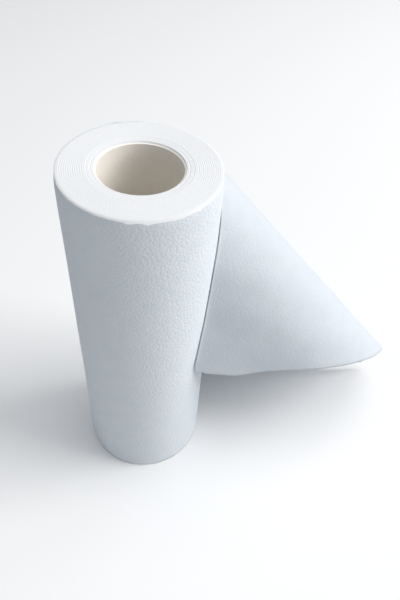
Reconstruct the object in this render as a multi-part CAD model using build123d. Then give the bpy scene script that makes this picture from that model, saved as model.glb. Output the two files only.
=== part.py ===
from build123d import *
from math import asin, atan2, cos, pi, sin
import os

# Cleaning cloth roll standing on its end. Millimetres, +Z up, origin on the axis at the base.
# The tail leaves the back of the roll towards +X and is folded over loosely to the front.

# Web of embossed nonwoven cloth
web_width = 250.0
cloth_thickness = 0.8
roll_diameter = 87.0
rim_radius = 1.4
rim_facets = 3
lap_gap = 0.05

# Paperboard core
core_diameter = 47.0
core_wall = 1.2
core_recess = 1.5
core_play = 0.05

# Spiral line between the turns, as it shows on both ends of the roll
turn_pitch = 2.0
turn_line_width = 0.35
turn_line_depth = 0.5
plain_margin = 0.9

# Tail: it rises a little and bends over forwards from a straight line, top edge to near corner
tail_length = 204.5
fold_start = 3.0
corner_rise = 4.5
bend_radius_at_top = 23.0
bend_radius_at_corner = 33.0
bend_turn = 161.0
bend_facets = 14

# Values worked out from these
roll_radius = roll_diameter / 2
core_radius = core_diameter / 2
eye_radius = core_radius + core_play
lap_step = cloth_thickness + lap_gap
standing = (Align.CENTER, Align.CENTER, Align.MIN)

# The fold's line lies in the middle of the root layer, and the bend is part of a cone that touches it there
half_thickness = cloth_thickness / 2
root_depth = roll_radius - half_thickness
full_turn = bend_turn * pi / 180
rise = asin(corner_rise / tail_length)
forward = Vector(0, -1, 0)
lengthwise = Vector(cos(rise), 0, sin(rise))
crosswise = Vector(-sin(rise), 0, cos(rise))

tail_foot = Vector(0, root_depth, 0)
tail_top = Vector(0, root_depth, web_width)
fold_top = tail_top + lengthwise * fold_start
near_corner = tail_foot + lengthwise * tail_length
far_corner = near_corner + crosswise * web_width
fold_length = (near_corner - fold_top).length
along_fold = (near_corner - fold_top).normalized()
across_fold = forward.cross(along_fold)

slope = asin((bend_radius_at_corner - bend_radius_at_top) / fold_length)
bend_tip = fold_top - along_fold * ((bend_radius_at_top + half_thickness) / sin(slope))
bend_axis = along_fold * cos(slope) + forward * sin(slope)
bend_front = forward * cos(slope) - along_fold * sin(slope)


def core_tube():
    """Plain tube, flush with the base and a little short of the cloth at the top."""
    length = web_width - core_recess
    outside = Cylinder(core_radius, length, align=standing)
    return outside - Cylinder(core_radius - core_wall, length, align=standing)


def half_roll(side):
    """Half of the wound turns, left (-1) or right (1): its arc leads the outer turn in under the tail."""
    radius = roll_radius - (2 + side) * lap_step / 4
    angles = [pi / 2 * index / rim_facets for index in range(rim_facets + 1)]
    rim = [(radius - rim_radius * (1 - sin(angle)), rim_radius * (1 - cos(angle))) for angle in angles]
    far_rim = [(across, web_width - height) for across, height in reversed(rim)]
    section = make_face(Polyline([(0, 0)] + rim + far_rim + [(0, web_width)], close=True))
    centre = Vector(0, -side * lap_step / 4, 0)
    plane = Plane(origin=centre, x_dir=(0, side, 0), z_dir=(side, 0, 0))
    return revolve(plane * section, Axis(centre, (0, 0, 1)), revolution_arc=-180)


def spiral(outer_radius, half_turns):
    """Half circles that join on the Y axis, from the outside in, each half a pitch closer to the core."""
    arcs = []
    for index in range(half_turns):
        radius = outer_radius - (index + 0.5) * turn_pitch / 2
        from_top = index % 2 == 0
        centre = (0, turn_pitch / 4 if from_top else -turn_pitch / 4)
        arcs.append(CenterArc(centre, radius, 90 if from_top else 270, 180))
    return arcs


def turn_line():
    """Spiral band in the XY plane, from the rim's flat to the first turn on the core."""
    outer = roll_radius - lap_step - rim_radius - plain_margin
    inner = eye_radius + plain_margin
    half_turns = int((outer - turn_line_width - inner) / (turn_pitch / 2))
    wide = spiral(outer, half_turns)
    narrow = spiral(outer - turn_line_width, half_turns)
    ends = [Line(wide[0] @ 0, narrow[0] @ 0), Line(wide[-1] @ 1, narrow[-1] @ 1)]
    return make_face(wide + narrow + ends)


def wound_turns():
    """The turns as one body, with the core's eye through it and the spiral line in both ends."""
    body = half_roll(-1) + half_roll(1)
    body -= Cylinder(eye_radius, web_width, align=standing)
    band = extrude(turn_line(), turn_line_depth)
    body -= band
    body -= Pos(0, 0, web_width - turn_line_depth) * band
    return body


def swing(point):
    """Angle at the bend's tip from the fold's line to a point of the flat web."""
    reach = point - bend_tip
    return atan2(reach.dot(across_fold), reach.dot(along_fold))


def edge_distance(turn, edge_point, outward):
    """Distance from the bend's tip to an edge of the web, along a line that is turned round the bend."""
    angle = turn * sin(slope)
    line = along_fold * cos(angle) + across_fold * sin(angle)
    return (edge_point - bend_tip).dot(outward) / line.dot(outward)


def bend_radial(turn):
    """Way out from the bend's axis, turned from the root layer (0) to the flap."""
    return across_fold * sin(turn) - bend_front * cos(turn)


def bend_line(turn):
    """Direction of the bend's straight line at this turn."""
    return bend_axis * cos(slope) + bend_radial(turn) * sin(slope)


def bend_outward(turn):
    """Direction square to the cloth at this turn."""
    return bend_radial(turn) * cos(slope) - bend_axis * sin(slope)


def at_top(turn):
    """Point where a line of the bend meets the web's top edge."""
    return bend_tip + bend_line(turn) * edge_distance(turn, fold_top, crosswise)


def at_cut(turn):
    """Point where a line of the bend meets the web's cut end."""
    return bend_tip + bend_line(turn) * edge_distance(turn, near_corner, lengthwise)


def bend_section(turn):
    """Section of the cloth along one line of the bend."""
    step = bend_outward(turn) * half_thickness
    top = at_top(turn)
    cut = at_cut(turn)
    return make_face(Polyline([top - step, top + step, cut + step, cut - step], close=True))


def bend():
    """Part of a cone in flat facets, which meets the layers behind and in front of it edge to edge."""
    turns = [full_turn * index / bend_facets for index in range(bend_facets + 1)]
    return loft([bend_section(turn) for turn in turns], ruled=True)


def root_layer():
    """Flat cloth from the back of the roll to the fold's line."""
    outline = make_face(Polyline([tail_top, tail_foot, near_corner, fold_top], close=True))
    return extrude(outline, half_thickness, dir=forward, both=True)


def flap():
    """Flat cloth in front of the bend, down to the web's far corner."""
    line = bend_line(full_turn)
    outward = bend_outward(full_turn)
    reach = (far_corner - bend_tip).length
    past = swing(far_corner) - full_turn * sin(slope)
    free_corner = bend_tip + line * (reach * cos(past)) + line.cross(outward) * (reach * sin(past))
    outline = make_face(Polyline([at_top(full_turn), at_cut(full_turn), free_corner], close=True))
    return extrude(outline, half_thickness, dir=outward, both=True)


def tail():
    """Root layer, bend and flap of the tail, which is one cloth."""
    return root_layer() + bend() + flap()


def cloth_roll():
    """Turns and tail are one web."""
    return wound_turns() + tail()


os.makedirs("parts", exist_ok=True)
export_step(core_tube(), "parts/core_tube.step")
export_step(cloth_roll(), "parts/cloth_roll.step")
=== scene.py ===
from math import cos, pi, radians, sin, tau

import bpy
import numpy as np
from mathutils import Matrix, Vector


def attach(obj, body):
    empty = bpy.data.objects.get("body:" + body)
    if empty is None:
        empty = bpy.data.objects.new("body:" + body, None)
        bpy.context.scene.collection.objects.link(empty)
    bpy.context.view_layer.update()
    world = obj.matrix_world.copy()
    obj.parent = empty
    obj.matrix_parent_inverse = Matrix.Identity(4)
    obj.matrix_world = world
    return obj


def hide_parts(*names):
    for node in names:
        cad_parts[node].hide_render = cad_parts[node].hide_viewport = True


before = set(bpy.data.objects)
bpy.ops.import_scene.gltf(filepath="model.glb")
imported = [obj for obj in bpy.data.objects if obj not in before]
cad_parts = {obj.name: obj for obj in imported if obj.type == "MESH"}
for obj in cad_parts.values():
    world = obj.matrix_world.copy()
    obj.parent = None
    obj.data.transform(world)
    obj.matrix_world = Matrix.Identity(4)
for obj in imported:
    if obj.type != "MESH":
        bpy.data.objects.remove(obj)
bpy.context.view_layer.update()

# Roll of white embossed cloth on a paperboard core, with its tail folded over to the front.
# Sizes are in millimetres and meshes in metres. Places on the flat web are given along it, from 0 where the
# tail leaves the roll, below 0 on the roll and above 0 on the tail, and across it, from the base up.
MM = 0.001

# Web and roll: the outer turn is one sheet with the tail, and its inner end laps under the tail's root
WEB_WIDTH = 250.0
CLOTH = 0.5
ROLL_RADIUS = 43.5
SHEET_INSET = 0.3
SHEET_RADIUS = ROLL_RADIUS - SHEET_INSET
ROUND_LENGTH = tau * SHEET_RADIUS
LAP_STEP = 0.85
LAP_LENGTH = 15.0

# Paperboard core
CORE_RADIUS = 23.5
CORE_WALL = 1.2
CORE_RECESS = 1.5
CORE_PLAY = 0.05
CORE_SOFT = 0.25
CORE_SOFT_MIDDLE = 0.08
CORE_ROWS = 26
CORE_SIDES = 160

# Tail: the fold's line runs on the flat web from its top edge to its near corner, and the tail rises
TAIL_LENGTH = 200.2
FOLD_START = 0.3
TAIL_RISE = 0.0272

# The fold is a loose cone whose tip lies on the fold's line, beyond its top end. Angles at the tip are in
# radians on the flat web, from the fold's line. Over some of them the bend fades and the flap comes to lean.
TIP_DISTANCE = 514.7
TIP_ANGLE = 0.5
BEND_STEPS = 600
BEND_SHARPNESS = 23.8
BEND_FADE = (0.0656, 0.187)
LEAN_ANGLES = (0.08, 0.16)
FLAP_LEAN = (-0.6, -2.6, 4.9)

# The cloth stays clear of the roll once the bend has turned it this far, in radians
REST_TURN = (0.4, 1.3)
REST_GAP = 0.15
REST_RADIUS = ROLL_RADIUS + REST_GAP
REST_SOFTNESS = 0.6

# Drape of the tail: lift of the near corner, dip of the top edge, and waves by seed, height and length
CORNER_LIFT = 3.5
CORNER_LIFT_START = 140.0
CORNER_LIFT_HEIGHT = 35.0
TOP_DIP = 3.0
TOP_DIP_START = (0.0, 8.0)
TOP_DIP_END = (35.0, 70.0)
TOP_DIP_HEIGHT = 25.0
DRAPE_START = (4.0, 60.0)
DRAPE_WAVES = ((21, 0.5, 75.0), (22, 0.25, 30.0))

# Cut end: waves by place across the web, spread and height, and a rounded free corner
CUT_WAVES = ((219.0, 13.0, 3.2), (175.0, 28.0, -1.4), (80.0, 32.0, 2.4))
CUT_WAVES_LENGTH = 80.2
FREE_CORNER = (10.2, 12.0)
FREE_CORNER_CUT = (2.2, 1.6)

# Outer turn: it waves a little, and at the back, near its top, it stands off (radians from the tail)
TURN_WAVE = (11, 0.10, 70.0)
TURN_WAVE_START = 12.0
LIFT = 1.5
LIFT_ANGLE = 0.33
LIFT_SPREAD = 0.13
LIFT_HEIGHT = 60.0

# Rim of the outer turn: drawn in, ragged, and with nicks by degrees round the roll, spread and depth
RIM_INSET = 0.9
RIM_HEIGHT = 7.0
RIM_POWER = 2.2
RAGGED_DEPTH = 0.35
RAGGED_WAVE = (12, 0.22, 9.0)
RAGGED_HEIGHT = 3.0
RAGGED_START = 10.0
NICKS = ((-98.0, 2.0, 1.5), (-86.0, 2.2, 1.7), (-69.0, 1.3, 1.0), (-64.0, 1.3, 1.0), (-49.5, 1.6, 1.6))
NICK_HEIGHT = 5.0

# Points of the sheet: steps along the turn and the tail, and rows that are closer at the web's edges
TURN_STEPS = 150
TAIL_STEPS = 120
EDGE_ROWS = (0.0, 0.6, 1.3, 2.2)
INNER_ROWS_START = 4.0
INNER_ROWS = 104

# Edges of the inner turns on the roll's ends: how far they fall short of the web's edge, less at the base.
# The first turns sink towards the core, by depth and distances from it, and the last ones towards the rim.
TURNS = 46
EDGE_SAMPLES = 3
TURN_SIDES = 150
TURN_GAP = 0.04
END_FALL = 0.12
TURN_GROOVE = 0.025
TURN_UNEVEN = 0.05
GOLDEN_ANGLE = 2.399
END_WAVE = (5, 0.05, 40.0)
SUNK_TURNS = ((0.14, 3.3, 4.5), (0.16, 1.4, 2.6))
OUTER_FALL = 0.25
OUTER_FALL_START = 0.93
BASE_SHARE = 0.6

# Random waves: number of sines in each, and the range of their rates
WAVE_TERMS = 7
WAVE_RATES = (0.6, 1.5)

# Cloth: pebbles, fibres and patches per metre, relief on the roll and what the drawn tail loses of it
PEBBLE_SCALE = 620.0
PEBBLE_RANDOMNESS = 0.95
PEBBLE_SMOOTHNESS = 0.8
PEBBLE_SLANT = 45.0
FIBRE_SCALE = 2600.0
FIBRE_HEIGHT = -0.30
PATCH_SCALE = 90.0
CLOTH_RELIEF = 0.45
DRAWN_RELIEF = -0.20
DRAWN_LENGTH = 20.0
PEBBLE_HEIGHT = 0.5
TRANSLUCENCY = 0.2
CLOTH_COLOURS = ((0.765, 0.812, 0.858, 1.0), (0.815, 0.855, 0.895, 1.0))

# Cut edges of the turns, and paperboard
EDGE_COLOURS = ((0.84, 0.85, 0.86, 1.0), (0.90, 0.905, 0.91, 1.0))
BOARD_COLOURS = ((0.88, 0.83, 0.755, 1.0), (0.95, 0.905, 0.835, 1.0))
FLECK_HEIGHT = 0.3

# Stage, in metres: white floor, pale surroundings, and the lamps' distance and target
FLOOR_REACH = 3.0
FLOOR_COLOUR = (0.97, 0.97, 0.97, 1.0)
SKY_COLOUR = (0.76, 0.87, 1.0, 1.0)
SKY_STRENGTH = 0.15
LAMP_DISTANCE = 3.2
LAMP_TARGET = (0.03, 0.0, 0.12)

# Camera: place in millimetres and directions, as fitted to the roll's outline in the photo
CAMERA_PLACE = (0.0, -230.4, 406.7)
CAMERA_RIGHT = (0.9942, -0.0845, 0.0659)
CAMERA_UP = (0.0192, 0.7453, 0.6664)
CAMERA_VIEW = (0.1054, 0.6613, -0.7426)
CAMERA_LENS = 32.165
CAMERA_SENSOR = 36.0


def smooth(low, high, x):
    """Smooth step from 0 to 1."""
    share = np.clip((x - low) / (high - low), 0.0, 1.0)
    return share * share * (3.0 - 2.0 * share)


def hump(centre, spread, x):
    """Smooth hump of height 1."""
    return np.exp(-((x - centre) / spread) ** 2)


def waves(seed, height, length, first, second):
    """Smooth random waves over two coordinates, mostly within their height."""
    rng = np.random.default_rng(seed)
    total = np.zeros(np.broadcast(first, second).shape)
    for _ in range(WAVE_TERMS):
        angle = rng.uniform(0.0, tau)
        rate = rng.uniform(*WAVE_RATES) * tau / length
        phase = rng.uniform(0.0, tau)
        total = total + np.sin(rate * (first * cos(angle) + second * sin(angle)) + phase)
    return height * total / (0.5 * WAVE_TERMS)


def make_object(name, points, faces, uvs=None):
    """Mesh object from points in millimetres, with one UV per point in metres."""
    mesh = bpy.data.meshes.new(name)
    mesh.from_pydata((np.asarray(points) * MM).tolist(), [], faces)
    if uvs is not None:
        layer = mesh.uv_layers.new(name="web")
        loops = np.empty(len(mesh.loops), dtype=np.int32)
        mesh.loops.foreach_get("vertex_index", loops)
        layer.data.foreach_set("uv", uvs[loops].astype(np.float32).ravel())
    mesh.polygons.foreach_set("use_smooth", [True] * len(mesh.polygons))
    mesh.update()
    piece = bpy.data.objects.new(name, mesh)
    bpy.context.scene.collection.objects.link(piece)
    return piece


def grid_faces(rows, columns, closed=False):
    """Quads of a grid of points that is stored row by row. A closed grid joins its ends both ways."""
    faces = []
    for row in range(rows if closed else rows - 1):
        next_row = (row + 1) % rows
        for column in range(columns if closed else columns - 1):
            next_column = (column + 1) % columns
            corners = ((row, column), (row, next_column), (next_row, next_column), (next_row, column))
            faces.append(tuple(i * columns + j for i, j in corners))
    return faces


def fold_lines(along, across, forward):
    """Directions of the fold's straight lines from its tip, and the turn so far, by angle at the tip."""
    angles = np.linspace(0.0, TIP_ANGLE, BEND_STEPS)
    step = angles[1]
    axes = np.array([along, across, forward])
    lines = [axes[0]]
    turns = [0.0]
    for angle in angles[1:]:
        bend = BEND_SHARPNESS * (1.0 - smooth(*BEND_FADE, angle - step / 2))
        spin = bend * axes[0] + axes[2]
        rate = np.linalg.norm(spin)
        turned = Matrix.Rotation(rate * step, 3, Vector(spin / rate))
        axes = axes @ np.array(turned).T
        lines.append(axes[0])
        turns.append(turns[-1] + bend * step)
    return angles, np.array(lines), np.array(turns)


def fold_web(along, across):
    """Flat tail bent over its fold's line. Gives the points, their angles at the tip and their turns."""
    top = np.array([FOLD_START, 0.0, WEB_WIDTH])
    corner = np.array([TAIL_LENGTH, 0.0, 0.0])
    fold_along = (corner - top) / np.linalg.norm(corner - top)
    fold_across = np.array([-fold_along[2], 0.0, fold_along[0]])
    forward = np.array([0.0, -1.0, 0.0])
    tip = top - fold_along * TIP_DISTANCE
    angles, lines, turns = fold_lines(fold_along, fold_across, forward)
    flat = np.stack([along - tip[0], np.zeros_like(along), across - tip[2]], -1)
    reach = np.linalg.norm(flat, axis=-1)[..., None]
    swing = np.arctan2(flat @ fold_across, flat @ fold_along)
    bent = np.stack([np.interp(swing, angles, lines[:, axis]) for axis in range(3)], -1)
    line = np.where((swing > 0.0)[..., None], bent, flat / reach)
    return tip + reach * line, swing, np.interp(swing, angles, turns)


def cut_end(along, across):
    """Draws the web's cut end a little wavy and rounds its free corner."""
    wave = sum(height * hump(place, spread, across) for place, spread, height in CUT_WAVES)
    wave = wave * smooth(TAIL_LENGTH - CUT_WAVES_LENGTH, TAIL_LENGTH, along)
    rounded = smooth(TAIL_LENGTH - FREE_CORNER[0], TAIL_LENGTH, along)
    rounded = rounded * smooth(WEB_WIDTH - FREE_CORNER[1], WEB_WIDTH, across)
    return along + wave - FREE_CORNER_CUT[0] * rounded, across - FREE_CORNER_CUT[1] * rounded


def clear_of_roll(points, share):
    """Moves points that come too near to the roll outwards, each by its share."""
    away = np.hypot(points[..., 0], points[..., 1])
    clear = REST_RADIUS + REST_SOFTNESS * np.logaddexp(0.0, (away - REST_RADIUS) / REST_SOFTNESS)
    points[..., :2] *= (1.0 + share * (clear / away - 1.0))[..., None]
    return points


def tail_points(along, across):
    """Flat tail to space: root layer at the back, loose fold, and the flap that hangs in front."""
    along, across = cut_end(along, across)
    points, swing, turn = fold_web(along, across)
    points[..., 1] += SHEET_RADIUS
    points[..., 2] += TAIL_RISE * points[..., 0]
    near_corner = smooth(CORNER_LIFT_START, TAIL_LENGTH, along)
    near_corner = near_corner * (1.0 - smooth(0.0, CORNER_LIFT_HEIGHT, across))
    points[..., 2] += CORNER_LIFT * near_corner
    near_roll = smooth(*TOP_DIP_START, along) * (1.0 - smooth(*TOP_DIP_END, along))
    points[..., 2] -= TOP_DIP * near_roll * smooth(WEB_WIDTH - TOP_DIP_HEIGHT, WEB_WIDTH, across)
    points += smooth(*LEAN_ANGLES, swing)[..., None] * np.array(FLAP_LEAN)
    for wave in DRAPE_WAVES:
        points[..., 1] += smooth(*DRAPE_START, along) * waves(*wave, along, across)
    return clear_of_roll(points, smooth(*REST_TURN, turn))


def nick_depth(angle):
    """Depth of the small nicks in the roll's front rim."""
    depth = np.zeros_like(angle)
    for place, spread, deep in NICKS:
        off = np.degrees(np.angle(np.exp(1j * (angle - radians(place)))))
        depth += deep * hump(0.0, spread, off)
    return depth


def turn_points(along, across):
    """Outer turn of the roll, from the lap to the place where the tail leaves it."""
    turn = -along / SHEET_RADIUS
    angle = pi / 2 + turn
    from_edge = np.clip(np.minimum(across, WEB_WIDTH - across) / RIM_HEIGHT, 0.0, 1.0)
    radius = SHEET_RADIUS - LAP_STEP * turn / tau - RIM_INSET * (1.0 - from_edge) ** RIM_POWER
    radius += LIFT * hump(LIFT_ANGLE, LIFT_SPREAD, turn) * smooth(WEB_WIDTH - LIFT_HEIGHT, WEB_WIDTH, across)
    radius += waves(*TURN_WAVE, along, across) * smooth(0.0, TURN_WAVE_START, -along)
    ragged = (RAGGED_DEPTH + waves(*RAGGED_WAVE, along, 0.0)) * smooth(0.0, RAGGED_START, -along)
    height = across - nick_depth(angle) * smooth(WEB_WIDTH - NICK_HEIGHT, WEB_WIDTH, across)
    height -= ragged * smooth(WEB_WIDTH - RAGGED_HEIGHT, WEB_WIDTH, across)
    return np.stack([radius * np.cos(angle), radius * np.sin(angle), height], -1)


def make_tail_sheet():
    """One sheet: lap under the tail, outer turn, and the tail with its fold."""
    on_roll = np.linspace(-ROUND_LENGTH - LAP_LENGTH, 0.0, TURN_STEPS)
    on_tail = np.linspace(0.0, TAIL_LENGTH, TAIL_STEPS)[1:]
    edge = np.array(EDGE_ROWS)
    middle = np.linspace(INNER_ROWS_START, WEB_WIDTH - INNER_ROWS_START, INNER_ROWS)
    rows = np.concatenate([edge, middle, WEB_WIDTH - edge[::-1]])
    along, across = np.meshgrid(np.concatenate([on_roll, on_tail]), rows, indexing="ij")
    wound = turn_points(along[:TURN_STEPS], across[:TURN_STEPS])
    drawn = tail_points(along[TURN_STEPS:], across[TURN_STEPS:])
    points = np.concatenate([wound, drawn]).reshape(-1, 3)
    uvs = np.stack([along, across], -1).reshape(-1, 2) * MM
    piece = make_object("tail_sheet", points, grid_faces(*along.shape), uvs)
    share = piece.data.attributes.new("drawn", "FLOAT", "POINT")
    share.data.foreach_set("value", smooth(0.0, DRAWN_LENGTH, along).ravel().astype(np.float32))
    solid = piece.modifiers.new("thickness", "SOLIDIFY")
    solid.thickness = CLOTH * MM
    solid.offset = 0.0
    return piece


def end_fall(radius, share, x, y):
    """How far the turns fall short of the web's edge, by share of the way from core to rim."""
    turn = TURNS * share
    fall = END_FALL + TURN_GROOVE * (0.5 + 0.5 * np.cos(tau * turn))
    fall += TURN_UNEVEN * np.sin(np.floor(turn) * GOLDEN_ANGLE) + waves(*END_WAVE, x, y)
    for depth, start, end in SUNK_TURNS:
        fall += depth * (1.0 - smooth(CORE_RADIUS + start, CORE_RADIUS + end, radius))
    return np.maximum(fall + OUTER_FALL * smooth(OUTER_FALL_START, 1.0, share), 0.0)


def make_wound_cloth():
    """Turns under the outer one: plain inside and outside, with the turns' edges on both ends."""
    angles = np.linspace(0.0, tau, TURN_SIDES, endpoint=False)
    shares = np.linspace(0.0, 1.0, TURNS * EDGE_SAMPLES + 1)
    turn, share = np.meshgrid(angles, shares)
    inner = CORE_RADIUS + CORE_PLAY
    outer = SHEET_RADIUS - LAP_STEP * turn / tau - CLOTH / 2 - TURN_GAP
    radius = inner + (outer - inner) * share
    x = radius * np.cos(turn + pi / 2)
    y = radius * np.sin(turn + pi / 2)
    fall = end_fall(radius, share, x, y)
    top = np.stack([x, y, WEB_WIDTH - fall], -1)
    base = np.stack([x, y, BASE_SHARE * fall], -1)
    rows = np.concatenate([base[::-1], top])
    return make_object("wound_cloth", rows.reshape(-1, 3), grid_faces(len(rows), TURN_SIDES, closed=True))


def make_core_board():
    """Paperboard tube with slightly softened ends."""
    outer = CORE_RADIUS
    inner = CORE_RADIUS - CORE_WALL
    top = WEB_WIDTH - CORE_RECESS
    heights = np.linspace(CORE_SOFT, top - CORE_SOFT, CORE_ROWS)
    profile = [(inner, height) for height in heights]
    profile += [(inner + CORE_SOFT_MIDDLE, top - CORE_SOFT_MIDDLE), (inner + CORE_SOFT, top)]
    profile += [(outer - CORE_SOFT, top), (outer - CORE_SOFT_MIDDLE, top - CORE_SOFT_MIDDLE)]
    profile += [(outer, height) for height in heights[::-1]]
    profile += [(outer - CORE_SOFT_MIDDLE, CORE_SOFT_MIDDLE), (outer - CORE_SOFT, 0.0)]
    profile += [(inner + CORE_SOFT, 0.0), (inner + CORE_SOFT_MIDDLE, CORE_SOFT_MIDDLE)]
    angles = np.linspace(0.0, tau, CORE_SIDES, endpoint=False)
    points = [(radius * cos(angle), radius * sin(angle), height)
              for radius, height in profile for angle in angles]
    faces = [face[::-1] for face in grid_faces(len(profile), CORE_SIDES, closed=True)]
    return make_object("core_board", points, faces)


def new_material(name):
    """Material with one shader, with its node tree and that shader."""
    material = bpy.data.materials.new(name)
    material.use_nodes = True
    tree = material.node_tree
    tree.nodes.clear()
    output = tree.nodes.new("ShaderNodeOutputMaterial")
    shader = tree.nodes.new("ShaderNodeBsdfPrincipled")
    tree.links.new(shader.outputs["BSDF"], output.inputs["Surface"])
    return material, tree, shader


def add_noise(tree, place, dimensions, scale, detail):
    """Noise by place, as a number from 0 to 1."""
    noise = tree.nodes.new("ShaderNodeTexNoise")
    noise.noise_dimensions = dimensions
    noise.inputs["Scale"].default_value = scale
    noise.inputs["Detail"].default_value = detail
    tree.links.new(place, noise.inputs["Vector"])
    return noise.outputs["Fac"]


def add_tint(tree, shader, share, colours):
    """Gives the shader a colour between two, by share."""
    tint = tree.nodes.new("ShaderNodeMix")
    tint.data_type = "RGBA"
    tint.inputs["A"].default_value = colours[0]
    tint.inputs["B"].default_value = colours[1]
    tree.links.new(share, tint.inputs["Factor"])
    tree.links.new(tint.outputs["Result"], shader.inputs["Base Color"])
    return tint.outputs["Result"]


def add_relief(tree, shader, height, distance):
    """Gives the shader a relief by height, over a distance in millimetres."""
    relief = tree.nodes.new("ShaderNodeBump")
    relief.inputs["Distance"].default_value = distance * MM
    tree.links.new(height, relief.inputs["Height"])
    tree.links.new(relief.outputs["Normal"], shader.inputs["Normal"])
    return relief


def add_product(tree, value, factor, added=0.0):
    """Node that gives a value times a factor, plus what is added."""
    product = tree.nodes.new("ShaderNodeMath")
    product.operation = "MULTIPLY_ADD"
    product.inputs[1].default_value = factor
    product.inputs[2].default_value = added
    tree.links.new(value, product.inputs[0])
    return product


def add_pebbles(tree, web):
    """Distance from the middle of each pebble of the embossing."""
    mapping = tree.nodes.new("ShaderNodeMapping")
    mapping.inputs["Rotation"].default_value = (0.0, 0.0, radians(PEBBLE_SLANT))
    tree.links.new(web, mapping.inputs["Vector"])
    pebbles = tree.nodes.new("ShaderNodeTexVoronoi")
    pebbles.voronoi_dimensions = "2D"
    pebbles.feature = "SMOOTH_F1"
    pebbles.inputs["Scale"].default_value = PEBBLE_SCALE
    pebbles.inputs["Randomness"].default_value = PEBBLE_RANDOMNESS
    pebbles.inputs["Smoothness"].default_value = PEBBLE_SMOOTHNESS
    tree.links.new(mapping.outputs["Vector"], pebbles.inputs["Vector"])
    return pebbles.outputs["Distance"]


def add_translucency(tree, shader, drawn, colour, normal):
    """Lets some light through the drawn tail, which is a single layer."""
    through = tree.nodes.new("ShaderNodeBsdfTranslucent")
    mixed = tree.nodes.new("ShaderNodeMixShader")
    share = add_product(tree, drawn, TRANSLUCENCY)
    tree.links.new(colour, through.inputs["Color"])
    tree.links.new(normal, through.inputs["Normal"])
    tree.links.new(share.outputs["Value"], mixed.inputs["Fac"])
    tree.links.new(shader.outputs["BSDF"], mixed.inputs[1])
    tree.links.new(through.outputs["BSDF"], mixed.inputs[2])
    tree.links.new(mixed.outputs["Shader"], tree.nodes["Material Output"].inputs["Surface"])


def cloth_material():
    """White embossed nonwoven: irregular pebbles with fibres over them, calmer on the drawn tail."""
    material, tree, shader = new_material("embossed_cloth")
    web = tree.nodes.new("ShaderNodeUVMap")
    web.uv_map = "web"
    drawn = tree.nodes.new("ShaderNodeAttribute")
    drawn.attribute_name = "drawn"
    fibres = add_noise(tree, web.outputs["UV"], "2D", scale=FIBRE_SCALE, detail=3.0)
    patches = add_noise(tree, web.outputs["UV"], "2D", scale=PATCH_SCALE, detail=4.0)
    height = add_product(tree, fibres, FIBRE_HEIGHT)
    tree.links.new(add_pebbles(tree, web.outputs["UV"]), height.inputs[2])
    relief = add_relief(tree, shader, height.outputs["Value"], PEBBLE_HEIGHT)
    relief.invert = True
    calm = add_product(tree, drawn.outputs["Fac"], DRAWN_RELIEF, CLOTH_RELIEF)
    tree.links.new(calm.outputs["Value"], relief.inputs["Strength"])
    colour = add_tint(tree, shader, patches, CLOTH_COLOURS)
    shader.inputs["Roughness"].default_value = 0.92
    shader.inputs["Specular IOR Level"].default_value = 0.2
    add_translucency(tree, shader, drawn.outputs["Fac"], colour, relief.outputs["Normal"])
    return material


def add_flecks(tree, shader, scale, detail, colours, strength):
    """Gives the shader fine flecks, in colour and in relief."""
    place = tree.nodes.new("ShaderNodeTexCoord")
    flecks = add_noise(tree, place.outputs["Object"], "3D", scale, detail)
    add_tint(tree, shader, flecks, colours)
    relief = add_relief(tree, shader, flecks, FLECK_HEIGHT)
    relief.inputs["Strength"].default_value = strength


def edge_material():
    """Cut edges of the turns: matt white with fine fibres."""
    material, tree, shader = new_material("cloth_edges")
    add_flecks(tree, shader, scale=1400.0, detail=4.0, colours=EDGE_COLOURS, strength=0.35)
    shader.inputs["Roughness"].default_value = 0.95
    shader.inputs["Specular IOR Level"].default_value = 0.15
    return material


def board_material():
    """Matt cream paperboard with flecks."""
    material, tree, shader = new_material("paperboard")
    add_flecks(tree, shader, scale=500.0, detail=6.0, colours=BOARD_COLOURS, strength=0.25)
    shader.inputs["Roughness"].default_value = 0.85
    return material


def floor_material():
    """Plain matt white."""
    material, _, shader = new_material("studio_floor")
    shader.inputs["Base Color"].default_value = FLOOR_COLOUR
    shader.inputs["Roughness"].default_value = 0.9
    shader.inputs["Specular IOR Level"].default_value = 0.1
    return material


def make_floor():
    """Flat floor that the roll stands on."""
    corners = [(x * FLOOR_REACH, y * FLOOR_REACH, 0.0) for x, y in ((-1, -1), (1, -1), (1, 1), (-1, 1))]
    mesh = bpy.data.meshes.new("floor")
    mesh.from_pydata(corners, [], [(0, 1, 2, 3)])
    floor = bpy.data.objects.new("floor", mesh)
    bpy.context.scene.collection.objects.link(floor)
    floor.data.materials.append(floor_material())
    return floor


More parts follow.
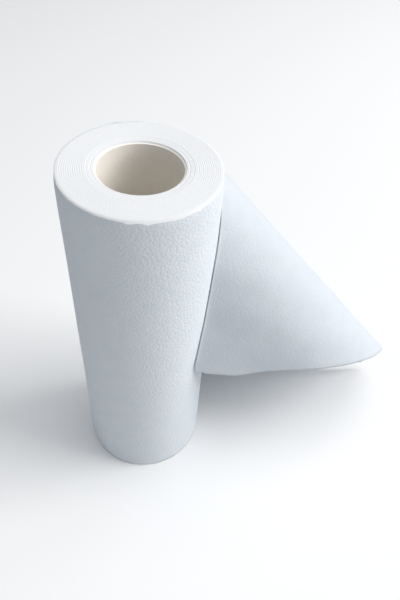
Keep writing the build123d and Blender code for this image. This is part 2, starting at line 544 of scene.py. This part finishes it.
def make_camera():
    """Camera at the photo's viewing angle."""
    data = bpy.data.cameras.new("camera")
    data.lens = CAMERA_LENS
    data.sensor_width = CAMERA_SENSOR
    camera = bpy.data.objects.new("camera", data)
    bpy.context.scene.collection.objects.link(camera)
    turned = Matrix((Vector(CAMERA_RIGHT), Vector(CAMERA_UP), -Vector(CAMERA_VIEW))).transposed().to_4x4()
    camera.matrix_world = Matrix.Translation(Vector(CAMERA_PLACE) * MM) @ turned
    return camera


def make_surroundings():
    """Pale, dim surroundings."""
    world = bpy.data.worlds.new("studio")
    world.use_nodes = True
    background = world.node_tree.nodes["Background"]
    background.inputs["Color"].default_value = SKY_COLOUR
    background.inputs["Strength"].default_value = SKY_STRENGTH
    return world


def add_lamp(name, azimuth, elevation, size, power, colour):
    """Wide square lamp that looks at the roll. Azimuth runs from the front (-Y) towards +X, in degrees."""
    data = bpy.data.lights.new(name, "AREA")
    data.shape = "SQUARE"
    data.size = size
    data.energy = power
    data.color = colour
    lamp = bpy.data.objects.new(name, data)
    bpy.context.scene.collection.objects.link(lamp)
    turn = radians(azimuth)
    climb = radians(elevation)
    away = Vector((sin(turn) * cos(climb), -cos(turn) * cos(climb), sin(climb)))
    lamp.location = Vector(LAMP_TARGET) + away * LAMP_DISTANCE
    lamp.rotation_euler = (-away).to_track_quat("-Z", "Y").to_euler()
    return lamp


# The pieces of the roll, with their materials
tail_sheet = make_tail_sheet()
wound_cloth = make_wound_cloth()
core_board = make_core_board()
tail_sheet.data.materials.append(cloth_material())
wound_cloth.data.materials.append(edge_material())
core_board.data.materials.append(board_material())

for piece, node, slot in ((tail_sheet, "cloth_roll", "cloth"), (wound_cloth, "cloth_roll", "cloth"),
                          (core_board, "core_tube", "paperboard")):
    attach(piece, "root")
    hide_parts(node)

# Soft studio light: a wide lamp from the right and a wider one from above
make_floor()
bpy.context.scene.camera = make_camera()
bpy.context.scene.world = make_surroundings()
add_lamp("key", azimuth=86.0, elevation=35.0, size=2.0, power=80.0, colour=(1.0, 0.99, 0.98))
add_lamp("top", azimuth=90.0, elevation=86.0, size=2.4, power=56.0, colour=(1.0, 1.0, 1.0))

view = bpy.context.scene.view_settings
view.view_transform = "Standard"
view.look = "None"
view.exposure = 0.0
